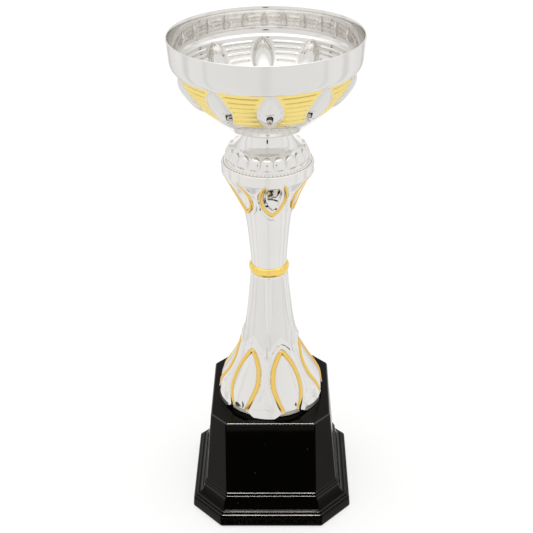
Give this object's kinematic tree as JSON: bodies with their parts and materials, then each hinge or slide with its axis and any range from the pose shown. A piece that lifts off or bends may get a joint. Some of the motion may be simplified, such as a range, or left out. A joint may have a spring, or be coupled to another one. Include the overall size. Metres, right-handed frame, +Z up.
{
  "type": "cup trophy",
  "caption": "Cup trophy: a shallow embossed silver and gilt bowl on a flared two-part riser with a gilt ring, standing on a black stepped octagonal plinth.",
  "frame": {"origin": "middle of the underside, on the surface that the trophy stands on", "axes": "+Z up through the threaded rod and the bowl, -Y towards the plinth's front face, +X to the right seen from the front"},
  "size_m": [0.1, 0.1, 0.285],
  "materials": {
    "silver_plate": "mirror-bright silver plate with gilt lacquer on its embossed ornament",
    "riser_plate": "mirror-bright silver metallised moulding with raised gilt lines",
    "gilt_plate": "polished gold-coloured plate",
    "plinth_black": "high-gloss black moulding",
    "zinc_steel": "bright zinc-plated steel",
    "ballast_iron": "rough cast iron",
    "nylon": "natural nylon",
    "seat_rubber": "black rubber",
    "board": "dark hardboard",
    "felt": "black felt"
  },
  "bodies": {
    "root": {"felt_pad": "felt", "bottom_board": "board", "plinth": "plinth_black", "ballast_block": "ballast_iron", "ballast_washer": "zinc_steel", "ballast_spring_washer": "zinc_steel", "ballast_nut": "zinc_steel", "boss_washer": "zinc_steel", "boss_spring_washer": "zinc_steel", "boss_nut": "zinc_steel", "locating_disc": "nylon", "lower_riser": "riser_plate", "joining_ring": "gilt_plate", "upper_riser": "riser_plate", "collar": "riser_plate", "bowl_seat": "seat_rubber", "bowl": "silver_plate", "bowl_pad": "nylon", "bowl_washer": "zinc_steel", "cap_nut": "zinc_steel", "tie_rod": "zinc_steel"}
  },
  "joints": []
}
